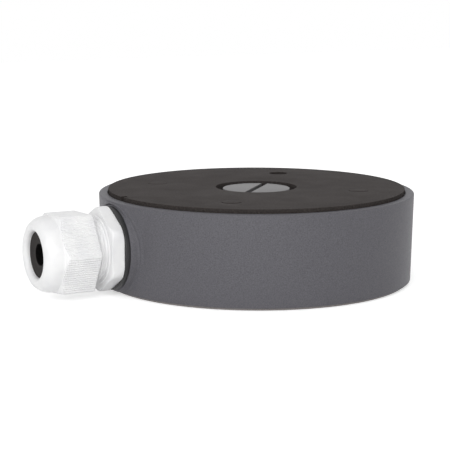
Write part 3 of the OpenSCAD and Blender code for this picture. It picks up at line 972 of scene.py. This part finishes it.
def screwMesh():
    s, low, high, columns = screw, screw["headLow"], screw["headHigh"], 48
    inner = s["shankR"] / 4  # turns the ends of the head's outline inwards; the rings leave it out
    head = rounded([(inner, low, 0), (s["headR"], low, s["headEdge"]),
                    (s["headR"], high, s["underEdge"]), (inner, high, 0)])
    rings = [roundRing(axisGap, low, columns)] + [roundRing(r, z, columns) for r, z in head[1:-1]]
    rings += threadRings(s["shankR"], s["depth"], s["pitch"], (high + ringGap / 2, s["end"] - s["tip"]),
                         (high + s["plain"], s["end"]), s["pitch"] / s["threadSteps"], columns)
    rings += [roundRing(s["tipR"], s["end"], columns), roundRing(axisGap, s["end"], columns)]
    made = objectFrom("screwForm", meshFromRings("screwForm", rings, False))
    key = post("key", s["keyR"], low - past, low + s["keyDepth"], count=6)
    combine(made, [key], "DIFFERENCE")
    return made


def screwTree(form):
    # the screw's form set at even steps round a circle
    tree, given, output = group("coverScrews", [("Count", "NodeSocketInt"), ("Radius", "NodeSocketFloat")])
    circle = addNode(tree, "GeometryNodeMeshCircle",
                     links={"Vertices": given.outputs["Count"], "Radius": given.outputs["Radius"]})
    info = addNode(tree, "GeometryNodeObjectInfo", {"Object": form})
    placed = addNode(tree, "GeometryNodeInstanceOnPoints",
                     links={"Points": circle.outputs["Mesh"], "Instance": info.outputs["Geometry"]})
    endTree(tree, output, placed.outputs[0], finish["steel"])
    return tree


def makeScrews():
    form = screwMesh()
    made = runTree("coverScrews", screwTree(form), {"Count": 3, "Radius": housing["screwPcd"] / 2 * mm})
    bpy.data.objects.remove(form)
    dress(made, finish["steel"], "cover", ["cover_screw_" + str(i) for i in (1, 2, 3)], 35)


makeCover()
makeScrews()
print("cover and screws made")


# CAD nodes that stay take a finish

carried = {
    "gland_claw_cage": "nylon", "cover_gasket": "rubber", "ground_screw": "brass", "ground_washer": "brass",
}
for number in (1, 2, 3):
    carried["cover_screw_o_ring_" + str(number)] = "rubber"
    carried["cover_screw_retainer_" + str(number)] = "ringNylon"
for name, kind in carried.items():
    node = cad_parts[name]
    node.data.materials.clear()
    node.data.materials.append(finish[kind])
print("carried nodes finished")


# Camera at the photograph's viewpoint: millimetres and degrees, focal length and frame in pixels

shot = {"distance": 673.67, "elevation": 11.546, "azimuth": -30.0, "yaw": -1.185, "pitch": 9.575,
        "focal": 1526.3, "frame": 450, "sensor": 36.0}


def makeCamera():
    data = bpy.data.cameras.new("camera")
    cam = objectFrom("camera", data)
    spin = Matrix.Rotation(math.radians(shot["azimuth"]), 4, "Z")
    e = math.radians(shot["elevation"])
    cam.location = spin @ Vector((0, -shot["distance"] * math.cos(e), shot["distance"] * math.sin(e))) * mm
    yaw, pitch = math.radians(shot["yaw"]), math.radians(shot["pitch"])
    look = spin @ Vector((math.sin(yaw) * math.cos(pitch), math.cos(yaw) * math.cos(pitch),
                          -math.sin(pitch)))
    cam.rotation_mode = "QUATERNION"
    cam.rotation_quaternion = look.to_track_quat("-Z", "Y")
    data.sensor_width = shot["sensor"]
    data.lens = shot["sensor"] * shot["focal"] / shot["frame"]
    data.clip_start, data.clip_end = 0.01, 20
    bpy.context.scene.camera = cam


# Soft lights from the left and in front, a white surround and a pale floor

# each lamp's azimuth and elevation in degrees, its distance and size in metres, and its power
lamps = {"keyLight": (-44, 25, 1.1, 0.7, 4.2), "fillLight": (-15, 20, 1.2, 0.8, 1.5),
         "rimLight": (95, 25, 1.1, 0.6, 0.2)}
room = {"world": 0.57, "floorHalf": 1500, "floorTop": -0.05, "floorFoot": -2.05, "floorGlow": 0.55}


def softBox(name, azimuth, elevation, distance, size, power):
    data = bpy.data.lights.new(name, "AREA")
    data.shape = "DISK"
    data.size = size
    data.energy = power
    lamp = objectFrom(name, data)
    a, e = math.radians(azimuth), math.radians(elevation)
    back = Vector((math.sin(a) * math.cos(e), -math.cos(a) * math.cos(e), math.sin(e)))
    lamp.location = back * distance
    lamp.rotation_mode = "QUATERNION"
    lamp.rotation_quaternion = (-back).to_track_quat("-Z", "Y")


def shownWhite(tree):
    # 1 for camera, glossy and transmission rays
    path = addNode(tree, "ShaderNodeLightPath")
    both = calc(tree, "MAXIMUM", path.outputs["Is Camera Ray"], path.outputs["Is Glossy Ray"])
    return calc(tree, "MAXIMUM", both, path.outputs["Is Transmission Ray"])


def makeRoom():
    world = bpy.data.worlds.new("studio")
    bpy.context.scene.world = world
    world.use_nodes = True
    tree = world.node_tree
    tree.nodes.clear()
    seen = shownWhite(tree)
    plain = addNode(tree, "ShaderNodeBackground", {"Color": (1, 1, 1, 1), "Strength": room["world"]})
    white = addNode(tree, "ShaderNodeBackground", {"Color": (1, 1, 1, 1), "Strength": 1.0})
    mix = addNode(tree, "ShaderNodeMixShader", links={0: seen, 1: plain.outputs[0], 2: white.outputs[0]})
    addNode(tree, "ShaderNodeOutputWorld", links={"Surface": mix.outputs[0]})
    for name, setting in lamps.items():
        softBox(name, *setting)


def makeFloor():
    half = room["floorHalf"]
    floor = block("floor", (-half, -half, room["floorFoot"]), (half, half, room["floorTop"]))
    material, tree, shader = newMaterial("paleFloor", 0.9)
    shader.inputs["Base Color"].default_value = hexColour("#f4f4f4")
    shader.inputs["Emission Color"].default_value = (1, 1, 1, 1)
    glow = calc(tree, "MULTIPLY", shownWhite(tree), room["floorGlow"])
    tree.links.new(glow, shader.inputs["Emission Strength"])
    floor.data.materials.append(material)


makeCamera()
makeRoom()
makeFloor()
bpy.context.scene.view_settings.view_transform = "Standard"
print("camera, light and floor made")
